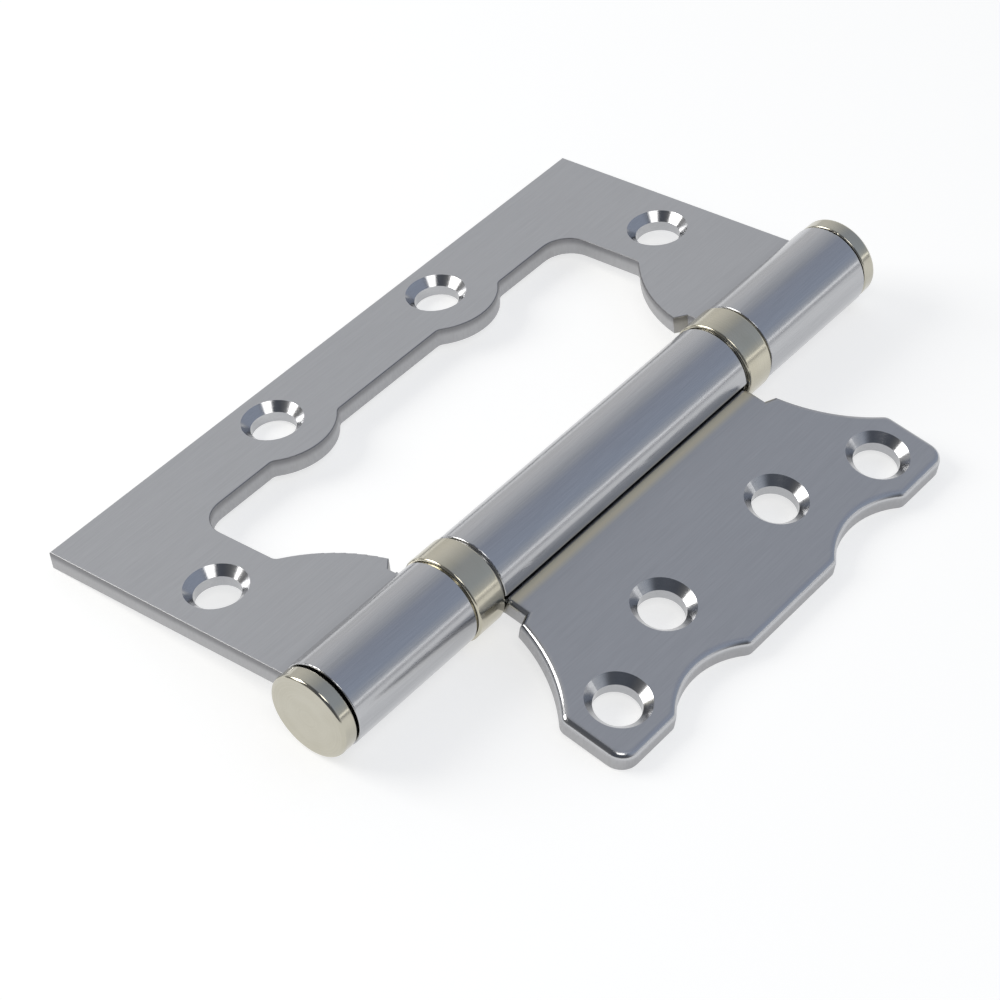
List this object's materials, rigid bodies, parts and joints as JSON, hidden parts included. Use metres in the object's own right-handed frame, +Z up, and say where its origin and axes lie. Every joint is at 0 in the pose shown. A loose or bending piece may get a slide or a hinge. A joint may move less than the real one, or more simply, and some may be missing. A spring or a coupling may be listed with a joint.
{
  "type": "butterfly door hinge",
  "caption": "Non-mortise butterfly door hinge: a frame leaf and an insert leaf that nests in its window turn on a rolled barrel with ball bearings and end caps.",
  "frame": {"origin": "middle of the footprint, on the flat surface that the open hinge lies on", "axes": "+Z up from that surface, +Y along the pin, +X from the frame leaf towards the insert leaf"},
  "size_m": [0.0753, 0.1052, 0.012],
  "materials": {
    "satin_steel": "satin chrome plate on pressed steel sheet",
    "polished_nickel": "polished nickel plate",
    "pin_steel": "drawn steel",
    "race_steel": "ground steel",
    "ball_steel": "polished steel",
    "cage_nylon": "moulded nylon"
  },
  "bodies": {
    "frame": {"frame_leaf": "satin_steel", "hinge_pin": "pin_steel", "end_cap_front": "polished_nickel", "bearing_shell_front": "polished_nickel", "outer_race_front": "race_steel", "end_cap_back": "polished_nickel", "bearing_shell_back": "polished_nickel", "outer_race_back": "race_steel"},
    "insert": {"insert_leaf": "satin_steel", "inner_race_front": "race_steel", "inner_race_back": "race_steel"},
    "balls_front": {"ball_cage_front": "cage_nylon", "ball_front_1": "ball_steel", "ball_front_2": "ball_steel", "ball_front_3": "ball_steel", "ball_front_4": "ball_steel", "ball_front_5": "ball_steel", "ball_front_6": "ball_steel", "ball_front_7": "ball_steel", "ball_front_8": "ball_steel"},
    "balls_back": {"ball_cage_back": "cage_nylon", "ball_back_1": "ball_steel", "ball_back_2": "ball_steel", "ball_back_3": "ball_steel", "ball_back_4": "ball_steel", "ball_back_5": "ball_steel", "ball_back_6": "ball_steel", "ball_back_7": "ball_steel", "ball_back_8": "ball_steel"}
  },
  "joints": [
    {"name": "leaf_swing", "type": "hinge", "parent": "frame", "child": "insert", "pos_m": [0.00715, 0, 0.006], "axis": [0, -1, 0], "range_deg": [-165.39, 194.61]},
    {"name": "front_ball_roll", "type": "hinge", "parent": "frame", "child": "balls_front", "pos_m": [0.00715, 0, 0.006], "axis": [0, -1, 0], "range_deg": [-83.19, 97.81]},
    {"name": "back_ball_roll", "type": "hinge", "parent": "frame", "child": "balls_back", "pos_m": [0.00715, 0, 0.006], "axis": [0, -1, 0], "range_deg": [-83.19, 97.81]}
  ],
  "couplings": [
    {"joint": "front_ball_roll", "follows": "leaf_swing", "ratio": 0.5},
    {"joint": "back_ball_roll", "follows": "leaf_swing", "ratio": 0.5}
  ]
}
